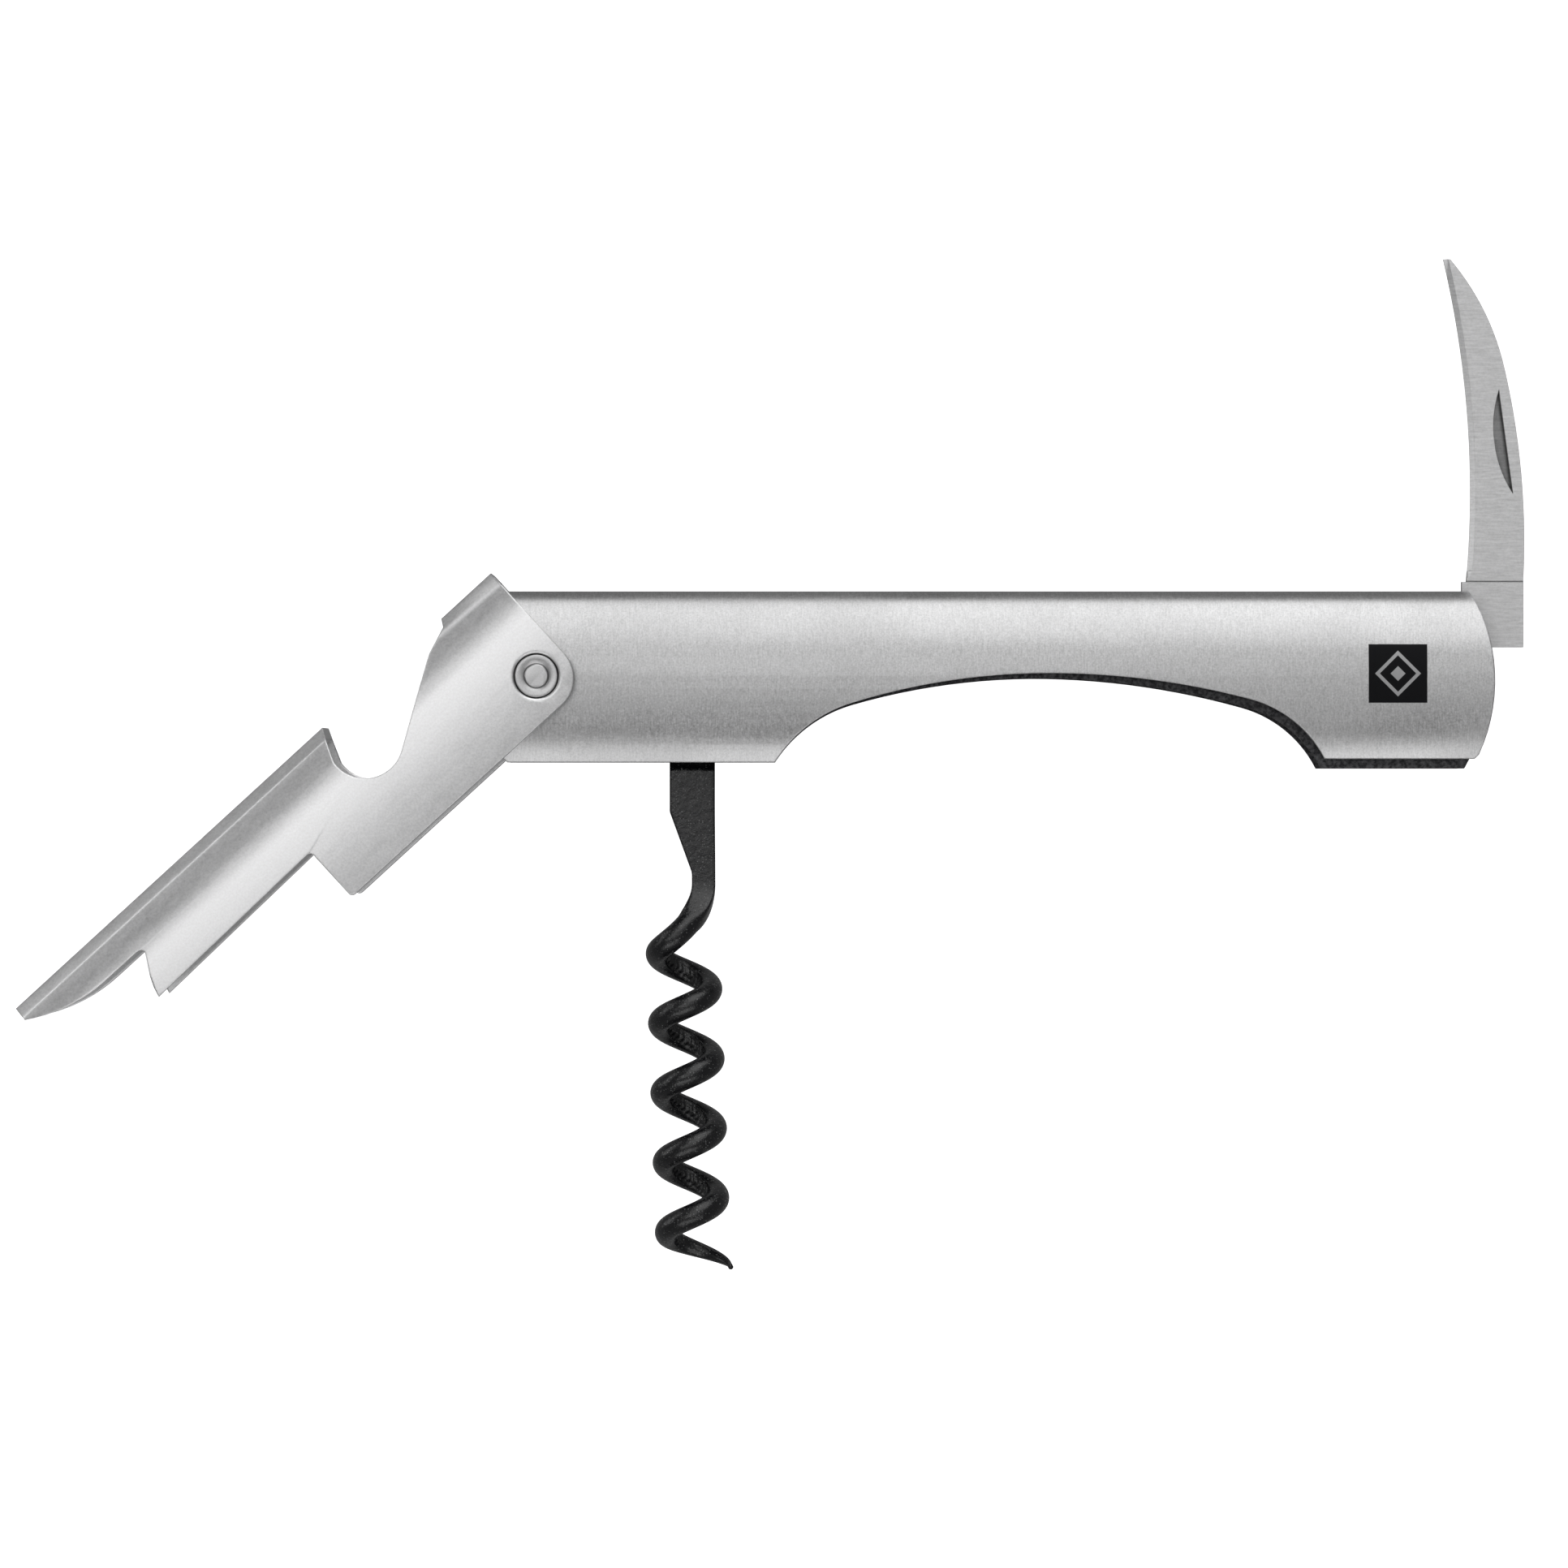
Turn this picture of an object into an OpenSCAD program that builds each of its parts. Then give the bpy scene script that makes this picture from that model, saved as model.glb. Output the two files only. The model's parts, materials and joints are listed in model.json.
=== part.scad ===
// Lever corkscrew of the waiter's kind, lying on its side with its tools folded out.
// The handle is a folded steel sheet round an inner frame of two liners. A two-step lever is
// riveted outside its left end; a worm and a foil knife turn on pins inside the frame.
// Every module draws in the lever pin's frame: the pin's axis is z, x runs along the handle,
// y points to the handle's closed back, and z = 0 is the plane halfway between the cheeks.

/* [Handle shell] */
// Distance from the lever pin to the rounded end of the handle
handle_len = 109.4; // [95:0.1:135]
// Height of the handle's closed back above the lever pin
back_h = 9.8; // [9.2:0.1:10]
// Depth of the lower edge below the lever pin, on the lever side of the finger cutout
front_drop = 9.85; // [9.2:0.05:10]
// Depth of the lower edge below the lever pin, on the knife side of the finger cutout
rear_drop = 9.45; // [9:0.05:9.8]
// Width of the handle across its crowned cheeks
handle_w = 15.2; // [14.8:0.1:18.5]
// Thickness of the handle's sheet
shell_t = 0.9; // [0.6:0.05:1]
// Radius of the convex outline at the knife end
end_r = 21; // [18:1:30]
// Radius of the convex outline at the lever end
nose_r = 13.6; // [13:0.1:14]
// Distance from the lever pin to the left corner of the finger cutout
cutout_x = 27.2; // [25:0.1:29]
// Length of the finger cutout along the lower edge
cutout_len = 62.8; // [55:0.1:64]
// Height of the finger cutout's highest point above the lever pin
cutout_h = 0.35; // [-1:0.05:0.6]

/* [Inner frame] */
// Clear width between the two liners
frame_gap = 9.3; // [9.1:0.1:9.6]
// Thickness of each liner
liner_t = 0.65; // [0.5:0.05:0.65]
// Height of the liners' straight upper edge above the lever pin
liner_h = 6.5; // [6:0.1:6.6]
// How far the liners stand below the shell at the knife end
liner_proud = 1.1; // [0.4:0.1:1.5]
// Diameter of the two frame spacers
spacer_d = 3.2; // [2.6:0.1:3.4]
// Diameter of the tenon at each end of a frame spacer
tenon_d = 2; // [1.5:0.1:2.2]

/* [Lever] */
// Distance from the lever pin to the tip of the lever
lever_len = 69.5; // [64:0.5:84]
// Thickness of the lever's sheet
lever_t = 1.15; // [0.8:0.05:1.2]
// Distance from the lever pin to the outside of the lever's spine
spine_h = 12.2; // [11.9:0.1:12.6]
// Gap between each cheek of the lever and the handle's crown
lever_gap = 0.4; // [0.35:0.05:0.6]
// Distance from the lever pin to the upper bottle step
step_u = 32.5; // [29:0.5:36]
// Distance from the lever pin to the lower bottle step
hook_u = 56.4; // [53:0.2:58]
// Direction of the lever in the drawn pose, in degrees from the handle's direction
lever_angle = 222.5; // [200:0.5:235]

/* [Rivet] */
// Diameter of the lever pin
pin_d = 2.8; // [2.4:0.1:3.2]
// Diameter of the rivet washers
washer_d = 4.9; // [4.5:0.1:5.3]
// Diameter of the sunk seats round the rivet washers
seat_d = 5.9; // [5.5:0.1:6.5]
// Depth of the sunk seats
seat_depth = 0.35; // [0.2:0.05:0.45]
// Outer diameter of the bush between the liners
bush_d = 4.6; // [4.2:0.1:5.4]

/* [Worm] */
// Distance from the lever pin to the worm pin along the handle
worm_x = 17.7; // [17:0.1:19]
// Depth of the worm pin below the lever pin
worm_drop = 3.4; // [3.2:0.1:3.6]
// Outer diameter of the coil
coil_d = 8.7; // [8:0.1:8.9]
// Diameter of the worm's wire
wire_d = 2.8; // [2.4:0.1:3.1]
// Pitch of the coil
pitch = 8; // [7:0.1:8.6]
// Turns of the coil, with its tapered point
turns = 5; // [4:0.5:5]
// Width of the flattened shank
shank_w = 5.2; // [4.6:0.1:5.6]
// Thickness of the flattened shank
shank_t = 2; // [1.6:0.1:2.6]
// Diameter of the pins that carry the worm and the knife
tool_pin_d = 2.5; // [2.1:0.1:2.6]

/* [Knife] */
// Distance from the lever pin to the knife pin along the handle, less the handle's length
knife_inset = 3.9; // [3.5:0.1:5]
// Height of the knife pin above the lever pin
knife_y = 4; // [3.8:0.1:4.1]
// Length of the knife from its pin to its tip
knife_len = 44; // [38:0.2:45]
// Width of the knife's tang
tang_w = 7.1; // [6.6:0.1:7.4]
// Thickness of the knife
knife_t = 1.5; // [1:0.1:1.8]

/* [Clearances] */
// Radial clearance of each running pin
running = 0.03; // [0.02:0.01:0.06]
// Side clearance of the worm and the knife between their spacers
side_gap = 0.05; // [0.03:0.01:0.1]
// Clearance of the knife's slot on each side of the blade
slot_gap = 0.35; // [0.3:0.05:0.6]

/* [Hidden] */
$fn = 96;

steel = "#c3c6c9";
dark_steel = "#3c3d40";
black_coat = "#1b1c1e";

big = 400;                              // larger than the object, for half planes
half_w = handle_w / 2;
liner_out = frame_gap / 2 + liner_t;    // outer face of a liner
knife_x = handle_len - knife_inset;
pin_r = pin_d / 2;
tool_pin_r = tool_pin_d / 2;

// The cheek's section, in arcs: a crown above and below the pin's height, a tighter curl
// along the lower edge and a rounded corner into the closed back.
crown_up_r = 19.3;
crown_down_r = 60;
curl_r = 16;
curl_y = -5.5;                          // the lower crown becomes the curl here
back_corner_a = 20;                     // the upper crown becomes the corner at this tilt
crown_up_z = half_w - crown_up_r;
crown_down_z = half_w - crown_down_r;
curl_a = asin(-curl_y / crown_down_r);
curl_z = crown_down_z + (crown_down_r - curl_r) * cos(curl_a);
curl_cy = -(crown_down_r - curl_r) * sin(curl_a);
corner_y0 = crown_up_r * sin(back_corner_a);
corner_r = (back_h - corner_y0) / (1 - sin(back_corner_a));
corner_z = crown_up_z + (crown_up_r - corner_r) * cos(back_corner_a);
corner_cy = back_h - corner_r;
section_low = 1.15 * back_h;            // the section reaches below every lower edge
nose_x = 7.6;                           // the shell reaches this far behind the lever pin
shell_corner_cut = 0.5;                 // bevel at the knife end's lower corner
liner_corner_cut = 0.1;

// The finger cutout, in four arcs that meet smoothly: a short one up from each corner and a
// long one from it to the top.
cutout_top = [cutout_x + 0.498 * cutout_len, cutout_h];
cutout_end = [cutout_x + cutout_len, -rear_drop];
long_rise = 3.4;                        // the long arcs fall this far from the top
left_join = [cutout_x + 0.14 * cutout_len, cutout_h - long_rise];
right_join = [cutout_end[0] - 0.137 * cutout_len, cutout_h - 0.87 * long_rise];

// The lever's section: flat cheeks that curve in towards a chamfered spine.
lever_in = half_w + lever_gap;
lever_out = lever_in + lever_t;
lever_flat = 5.5;                       // the cheeks start to curve this far above the pin
lever_curve_r = 16;
spine_chamfer = 1.3;
open_edge = 4.4;                        // the cheeks' open edge lies this far below the pin
heel = 4.1;                             // the cheeks' heel lies this far behind the pin
step_r = 0.5;                           // rounding of the upper step's two corners
bridge_u = 3.6;                         // end of the bridge that joins the cheeks at the heel
narrow_v = 2.6;                         // open edge beyond the first step
lifter = [19.35, 7.8];                  // centre of the cap lifter's round notch
lifter_r = 4.35;
lifter_tip_u = 22;                      // tip of the cap lifter's lip, on the spine
fang_rise = 3.6;                        // how far the hollow edge rises from its notch to the tip

// The worm: mean radius, top of the coil, and the lean of its axis.
coil_r = (coil_d - wire_d) / 2;
worm_y = -worm_drop;
neck_y = -22;                           // the flat shank has narrowed to the neck here
neck_w = 2.7;
neck_x = worm_x + 1.3;
coil_top = [worm_x - 1.15, -27.85];
coil_lean = 0.033;                      // sideways shift of the axis for each unit of depth
wire_sides = 12;
turn_steps = 20;
neck_steps = 11;
join_turn = 0.42;                       // the neck has run into the coil here, in turns
point_turns = 0.5;                      // the point tapers over this part of a turn
point_flare = 1.3;                      // the point ends this much further out
point_r = 0.3;

// The liners lie this far inside the handle's ends, and this far above its lower edge at the left.
liner_inset = 0.7;
liner_rise = 0.4;
liner_lead = 0.35;                      // the liners lead the shell by this at the cutout's right end
middle_spacer_at = [46, 4.3];
rear_spacer_at = [knife_x - 8, -6.3];
tool_spacer_d = 5;
shim_d = 7;
tang_r = 3.4;                           // round end of the worm's and the knife's tang
hook_v = 2.1;                           // open edge at the lower bottle step

// The knife's outline, from its pin: a long belly, a rounder tip and a hollow cutting edge.
tang_x = 0.6;                           // the tang starts this far in front of the pin
belly_r = 88;
belly_y = 11.6;
belly_top = 31.7;                       // the tip's rounder arc starts here
edge_r = 116.5;
edge_centre = [tang_x + 1 - edge_r, 17.2];
blade_y = 6.9;                          // the shoulder between the tang and the blade
tang_y = -0.6;                          // the tang's square end
edge_t = 0.2;
bevel_w = 0.7;
nick_at = [tang_x + 5.1, 23];           // middle of the nick's straight side
nick_r = 14.3;
nick_w = 1.35;
nick_depth = 0.55;
grind = 0.1;                            // ground off each side of the blade

// The lowest and outermost points put the whole object on its floor and centre it there.
function lever_at(u, v) = [
    u * cos(lever_angle) + v * sin(lever_angle),
    u * sin(lever_angle) - v * cos(lever_angle)
];
knife_top = knife_y + knife_len;
worm_tip = coil_at(turns);
left_x = lever_at(lever_len, spine_h)[0];
right_x = knife_x + tang_x + tang_w + 0.1;
origin = [-(left_x + right_x) / 2, -(worm_tip[1] + knife_top) / 2 + 0.1, lever_out];

// ---------- helpers ----------

// Radius and centre of the arc through p and q, from the angle at p of the normal that points
// away from its centre
function arc_radius(p, n, q) =
    let (d = q - p) -(d * d) / (2 * (d * [cos(n), sin(n)]));
function arc_centre(p, n, q) = p - arc_radius(p, n, q) * [cos(n), sin(n)];

module band(x0, x1, y0, y1) {
    translate([x0, y0])
        square([x1 - x0, y1 - y0]);
}

// The part of a round cheek pair between two heights; z is drawn along the first axis
module cheek_band(cz, cy, r, y0, y1) {
    intersection() {
        translate([cz, cy])
            circle(r);
        translate([-cz, cy])
            circle(r);
        band(-big, big, y0, y1);
    }
}

// One side of the handle's section, drawn in by t, from its lower end to the closed back. The
// arcs are drawn as short straight steps, so that the outline can cross them cleanly.
function section_side(t) =
    let (
        low = asin((-section_low - curl_cy) / (curl_r - t)),
        curl = arc_round([curl_z, curl_cy], curl_r - t, low, -curl_a, 8),
        down = arc_round([crown_down_z, 0], crown_down_r - t, -curl_a, 0, 4),
        up = arc_round([crown_up_z, 0], crown_up_r - t, 0, back_corner_a, 8),
        corner = arc_round([corner_z, corner_cy], corner_r - t, back_corner_a, 90, 14)
    )
    concat(curl, but_first(down), but_first(up), but_first(corner));

// Section of the handle's sheet, with z along the first axis: an arch open along its lower side
module handle_section() {
    outer = section_side(0);
    inner = section_side(shell_t);
    polygon(concat(outer, mirrored(reversed(outer)), mirrored(inner), reversed(inner)));
}

// Points along an arc that starts at p, where the normal away from its centre has the angle n,
// and ends at q
function arc_to(p, n, q, steps) =
    let (
        r = arc_radius(p, n, q),
        c = arc_centre(p, n, q),
        last = atan2(q[1] - c[1], q[0] - c[0])
    )
    [for (i = [1 : steps]) let (a = n + (last - n) * i / steps) c + r * [cos(a), sin(a)]];

// Points round a circle, between two angles
function arc_round(c, r, from, to, steps) =
    [for (i = [0 : steps]) let (a = from + (to - from) * i / steps) c + r * [cos(a), sin(a)]];

// The normal's angle at the end of the arc that arc_to draws
function arc_end_angle(p, n, q) =
    let (c = arc_centre(p, n, q)) atan2(q[1] - c[1], q[0] - c[0]);
function reversed(list) = [for (i = [len(list) - 1 : -1 : 0]) list[i]];
function but_first(list) = [for (i = [1 : len(list) - 1]) list[i]];
function mirrored(list) = [for (p = list) [-p[0], p[1]]];

// The finger cutout, open downwards
module cutout_outline() {
    top = cutout_top;
    corner = [cutout_x, -front_drop];
    left_n = arc_end_angle(top, 90, left_join);
    right_n = arc_end_angle(top, 90, right_join);
    polygon(concat(
        [[cutout_x, -big]],
        reversed(arc_to(left_join, left_n, corner, 14)),
        reversed(arc_to(top, 90, left_join, 12)),
        [top],
        arc_to(top, 90, right_join, 12),
        arc_to(right_join, right_n, cutout_end, 14),
        [[cutout_end[0], -big]]
    ));
}

// Outline of the handle's cheek below a given top, with its ends drawn in by inset
module cheek_outline(inset, low_left, low_right, top, corner_cut) {
    nose = nose_r - inset;
    nose_c = [nose_r - nose_x, 0];
    tail = end_r - inset;
    tail_c = [handle_len - end_r, -0.5];
    tail_low = -low_right + corner_cut;
    polygon(concat(
        arc_round(nose_c, nose, 180 + asin(low_left / nose), 180 - asin(top / nose), 14),
        arc_round(tail_c, tail, asin((top + 0.5) / tail), asin((tail_low + 0.5) / tail), 15),
        [
            [tail_c[0] + sqrt(pow(tail, 2) - pow(tail_low + 0.5, 2)) - corner_cut, -low_right],
            [cutout_top[0], -low_right], [cutout_top[0], -low_left]
        ]
    ));
}

module pin(r, half_len, chamfer) {
    rotate_extrude()
        polygon([
            [0, -half_len], [r - chamfer, -half_len], [r, -half_len + chamfer],
            [r, half_len - chamfer], [r - chamfer, half_len], [0, half_len]
        ]);
}

module tube(d, bore_d, z0, z1) {
    difference() {
        translate([0, 0, z0])
            cylinder(d = d, h = z1 - z0);
        translate([0, 0, z0 - 1])
            cylinder(d = bore_d, h = z1 - z0 + 2);
    }
}

// ---------- handle ----------

module knife_slot() {
    slot_from = knife_x - knife_len - 1.2;
    translate([slot_from, 0, -(knife_t / 2 + slot_gap)])
        cube([big, big, knife_t + 2 * slot_gap]);
}

module handle_shell() {
    color(steel)
        translate(origin)
            difference() {
                intersection() {
                    translate([-nose_r, 0, 0])
                        rotate([0, 90, 0])
                            linear_extrude(handle_len + 2 * nose_r)
                                handle_section();
                    linear_extrude(handle_w + 2, center = true)
                        difference() {
                            cheek_outline(0, front_drop, rear_drop, back_h + 1, shell_corner_cut);
                            cutout_outline();
                        }
                }
                cylinder(r = pin_r + 0.3, h = big, center = true);
                knife_slot();
            }
}

// ---------- inner frame ----------

// The liners' cutout: the shell's, tilted about its left corner and a little shorter
module liner_cutout() {
    corner = [cutout_x, -front_drop];
    translate(corner)
        rotate(-atan(liner_proud / cutout_len))
            translate(-corner)
                intersection() {
                    cutout_outline();
                    translate([-liner_lead, 0])
                        cutout_outline();
                }
}

module liner() {
    linear_extrude(liner_t)
        difference() {
            cheek_outline(
                liner_inset, front_drop - liner_rise, rear_drop + liner_proud, liner_h,
                liner_corner_cut
            );
            liner_cutout();
            circle(r = pin_r + running);
            translate([worm_x, worm_y])
                circle(r = tool_pin_r);
            translate([knife_x, knife_y])
                circle(r = tool_pin_r);
            for (at = [middle_spacer_at, rear_spacer_at])
                translate(at)
                    circle(d = tenon_d);
        }
}

module front_liner() {
    color(dark_steel)
        translate(origin)
            translate([0, 0, frame_gap / 2])
                liner();
}

module back_liner() {
    color(dark_steel)
        translate(origin)
            translate([0, 0, -liner_out])
                liner();
}

module frame_spacer(at) {
    color(steel)
        translate(origin)
            translate(at)
                rotate_extrude()
                    polygon([
                        [0, -liner_out], [tenon_d / 2, -liner_out], [tenon_d / 2, -frame_gap / 2],
                        [spacer_d / 2, -frame_gap / 2], [spacer_d / 2, frame_gap / 2],
                        [tenon_d / 2, frame_gap / 2], [tenon_d / 2, liner_out], [0, liner_out]
                    ]);
}

module middle_spacer() {
    frame_spacer(middle_spacer_at);
}

module rear_spacer() {
    frame_spacer(rear_spacer_at);
}

module lever_bush() {
    color(steel)
        translate(origin)
            tube(bush_d, pin_d + 2 * running, -frame_gap / 2, frame_gap / 2);
}

// ---------- lever ----------

// Section of the lever, with z along the first axis and v along the second
module lever_section() {
    curve_z = lever_out - lever_curve_r;
    chamfer_v = spine_h - spine_chamfer;
    chamfer_z = curve_z + sqrt(pow(lever_curve_r, 2) - pow(chamfer_v - lever_flat, 2));
    difference() {
        union() {
            band(-lever_out, lever_out, -open_edge, lever_flat);
            cheek_band(curve_z, lever_flat, lever_curve_r, lever_flat, chamfer_v);
            polygon([
                [-chamfer_z, chamfer_v], [chamfer_z, chamfer_v],
                [chamfer_z - spine_chamfer, spine_h], [-chamfer_z + spine_chamfer, spine_h]
            ]);
        }
        band(-lever_in, lever_in, -open_edge - 1, lever_flat);
        cheek_band(curve_z, lever_flat, lever_curve_r - lever_t, lever_flat, spine_h - lever_t);
    }
}

// The cap lifter's notch: a long slope that runs into a round claw
module lifter_notch() {
    polygon(concat(
        [
            [bridge_u, spine_h + 1], [bridge_u, spine_h], [bridge_u + 0.5, spine_h - 0.9],
            [bridge_u + 3.8, spine_h - 2.1], [lifter[0] - 6.45, lifter[1] - 1.1]
        ],
        arc_round(lifter, lifter_r, 237.7, 366, 24),
        [
            [lifter_tip_u + 0.7, spine_h - 1.5], [lifter_tip_u, spine_h],
            [lifter_tip_u, spine_h + 1]
        ]
    ));
}

// The notch behind the lower bottle step, and the hollow edge from it to the tip
module hook_notch() {
    slit = [hook_u - 1.65, hook_v + 4.85];
    slit_r = 0.6;
    low = [hook_u + 3.1, slit[1] + slit_r];
    hollow_len = lever_len + 1 - low[0];
    hollow_r = pow(hollow_len, 2) / (2 * fang_rise) + fang_rise / 2;
    end_a = -90 + asin(hollow_len / hollow_r);
    polygon(concat(
        [
            [hook_u, -big], [hook_u, hook_v], [hook_u - 0.3, hook_v + 1.1],
            [hook_u - 0.8, hook_v + 2.3], [hook_u - 1.45, hook_v + 3.4]
        ],
        arc_round(slit, slit_r, 190, 90, 6),
        arc_round(low + [0, hollow_r], hollow_r, -90, end_a, 10),
        [[lever_len + big, low[1]], [lever_len + big, -big]]
    ));
}

module lever_outline() {
    difference() {
        union() {
            translate([0, heel - open_edge])
                circle(heel);
            band(-heel, 0, heel - open_edge, spine_h);
            polygon(concat(
                [[0, spine_h], [0, -open_edge]],
                arc_round([step_u - step_r, step_r - open_edge], step_r, -90, 0, 5),
                arc_round([step_u + step_r, narrow_v - step_r], step_r, 180, 90, 5),
                [[hook_u, hook_v], [lever_len, hook_v], [lever_len, spine_h]]
            ));
        }
        lifter_notch();
        hook_notch();
    }
}

// The sunk seat of a rivet washer, below z = 0, with a rim that rounds over to the cheek
module seat_cut() {
    floor_r = washer_d / 2 + 0.08;
    rim_h = seat_depth - 0.1;
    rim_w = seat_d / 2 - floor_r;
    rotate_extrude()
        polygon(concat(
            [[0, 1], [0, -seat_depth], [floor_r, -seat_depth]],
            [for (a = [0 : 15 : 90]) [floor_r + rim_w * (1 - cos(a)), rim_h * (sin(a) - 1)]],
            [[seat_d / 2, 1]]
        ));
}

module lever() {
    color(steel)
        translate(origin)
            rotate(lever_angle)
                mirror([0, 1, 0])
                    difference() {
                        intersection() {
                            translate([-2 * heel, 0, 0])
                                rotate([0, 90, 0])
                                    linear_extrude(lever_len + 3 * heel)
                                        lever_section();
                            linear_extrude(3 * lever_out, center = true)
                                lever_outline();
                        }
                        cylinder(r = pin_r, h = big, center = true);
                        for (side = [0, 1])
                            mirror([0, 0, side])
                                translate([0, 0, lever_out])
                                    seat_cut();
                    }
}

module lever_pin() {
    color(steel)
        translate(origin)
            pin(pin_r, lever_out - 0.03, 0.15);
}

// A rivet washer, dished round the pin, whose foot lies at z
module rivet_washer(z) {
    rim = 0.45;
    top = seat_depth - 0.05;
    translate([0, 0, z])
        rotate_extrude()
            polygon([
                [pin_r, 0], [washer_d / 2, 0], [washer_d / 2, top - 0.08],
                [washer_d / 2 - 0.08, top], [washer_d / 2 - rim, top], [pin_r, top - 0.15]
            ]);
}

module front_rivet_washer() {
    color(steel)
        translate(origin)
            rivet_washer(lever_out - seat_depth);
}

module back_rivet_washer() {
    color(steel)
        translate(origin)
            mirror([0, 0, 1])
                rivet_washer(lever_out - seat_depth);
}

// Thin washers that keep the lever's cheeks off the handle's crown
module shim(side) {
    color(steel)
        translate(origin)
            mirror([0, 0, side])
                tube(shim_d, pin_d, half_w + 0.05, lever_in);
}

module front_shim() {
    shim(0);
}

module back_shim() {
    shim(1);
}

// ---------- worm ----------

// A point of the coil's wire, k turns from its top
function coil_at(k) =
    let (
        flare = point_flare * max(0, (k - turns + point_turns) / point_turns),
        r = coil_r + flare
    )
    [
        coil_top[0] + coil_lean * pitch * k + r * cos(360 * k),
        coil_top[1] - pitch * k,
        r * sin(360 * k)
    ];
function unit(v) = v / norm(v);
function bezier(p, s) =
    pow(1 - s, 3) * p[0] + 3 * s * pow(1 - s, 2) * p[1] + 3 * s * s * (1 - s) * p[2]
    + pow(s, 3) * p[3];
// One ring of the wire: centre p, direction t, and the angle about the coil's axis that the
// ring's first point faces
function ring(p, t, r, facing) =
    let (
        ref = [cos(facing), 0, sin(facing)],
        a = unit(ref - (ref * t) * t),
        b = cross(t, a)
    )
    [for (i = [0 : wire_sides - 1])
        let (w = 360 * i / wire_sides) p + r * (cos(w) * a + sin(w) * b)];
function wire_radius(k) =
    let (left = min(1, (turns - k) / point_turns)) max(point_r, wire_d / 2 * pow(left, 0.55));

module worm_wire() {
    last = floor((turns - join_turn) * turn_steps);
    join = coil_at(join_turn);
    join_t = unit(coil_at(join_turn + 0.01) - join);
    neck = [neck_x, neck_y - 1.5, 0];
    bend = [neck, neck + [0.2, -3.9, 0.3], join - 4 * join_t, join];
    neck_rings = [
        for (i = [0 : neck_steps - 1])
            let (
                s = i / neck_steps,
                t = unit(bezier(bend, s + 0.01) - bezier(bend, s)),
                r = min(wire_d / 2, shank_t / 2 - 0.05 + 2 * s * wire_d / 2)
            )
            ring(bezier(bend, s), t, r, 360 * join_turn * s)
    ];
    coil_rings = [
        for (i = [0 : last])
            let (
                k = join_turn + (turns - join_turn) * i / last,
                t = unit(coil_at(k + 0.01) - coil_at(k - 0.01))
            )
            ring(coil_at(k), t, wire_radius(k), 360 * k)
    ];
    rings = concat(neck_rings, coil_rings);
    count = len(rings);
    sides = [
        for (i = [0 : count - 2], j = [0 : wire_sides - 1])
            let (n = (j + 1) % wire_sides)
            each [
                [i * wire_sides + j, (i + 1) * wire_sides + j, i * wire_sides + n],
                [i * wire_sides + n, (i + 1) * wire_sides + j, (i + 1) * wire_sides + n]
            ]
    ];
    ends = [
        [for (j = [0 : wire_sides - 1]) j],
        [for (j = [wire_sides - 1 : -1 : 0]) (count - 1) * wire_sides + j]
    ];
    polyhedron([for (r = rings) each r], concat(sides, ends), convexity = 10);
}

module worm_shank() {
    half = shank_w / 2;
    shoulder_y = worm_y - 12.1;
    difference() {
        linear_extrude(shank_t, center = true) {
            translate([worm_x, worm_y])
                circle(tang_r);
            band(worm_x - half, worm_x + half, shoulder_y, worm_y);
            polygon([
                [worm_x - half, shoulder_y], [neck_x - neck_w / 2, neck_y - 0.5],
                [neck_x - neck_w / 2, neck_y - 2.6], [neck_x - 0.6, neck_y - 4],
                [neck_x + 0.6, neck_y - 4], [neck_x + neck_w / 2, neck_y - 2.6],
                [worm_x + half, neck_y + 4], [worm_x + half, shoulder_y]
            ]);
        }
        translate([worm_x, worm_y, 0])
            cylinder(r = tool_pin_r + running, h = big, center = true);
    }
}

module worm() {
    color(black_coat)
        translate(origin) {
            worm_shank();
            worm_wire();
        }
}

module worm_pin() {
    color(steel)
        translate(origin)
            translate([worm_x, worm_y, 0])
                pin(tool_pin_r, liner_out, 0.1);
}

module worm_spacer(side) {
    color(steel)
        translate(origin)
            translate([worm_x, worm_y, 0])
                mirror([0, 0, side])
                    tube(tool_spacer_d, tool_pin_d, shank_t / 2 + side_gap, frame_gap / 2);
}

module front_worm_spacer() {
    worm_spacer(0);
}

module back_worm_spacer() {
    worm_spacer(1);
}

// ---------- knife ----------

// Side view of the blade above its shoulder, from the knife pin
module blade_outline() {
    belly_c = [tang_x + tang_w + 0.1 - belly_r, belly_y];
    belly_n = asin((belly_top - belly_y) / belly_r);
    join = belly_c + belly_r * [cos(belly_n), sin(belly_n)];
    tip = [tang_x - 1.4, knife_len + 0.1];
    difference() {
        union() {
            intersection() {
                translate(belly_c)
                    circle(belly_r, $fn = 360);
                band(-tang_w, 2 * tang_w, blade_y - 0.5, belly_top);
            }
            intersection() {
                translate(arc_centre(join, belly_n, tip))
                    circle(arc_radius(join, belly_n, tip), $fn = 180);
                band(-tang_w, 2 * tang_w, belly_top, knife_len);
            }
        }
        translate(edge_centre)
            circle(edge_r, $fn = 360);
    }
}

module knife_outline() {
    blade_outline();
    band(tang_x, tang_x + tang_w, tang_y, blade_y);
    circle(tang_r);
}

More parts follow.
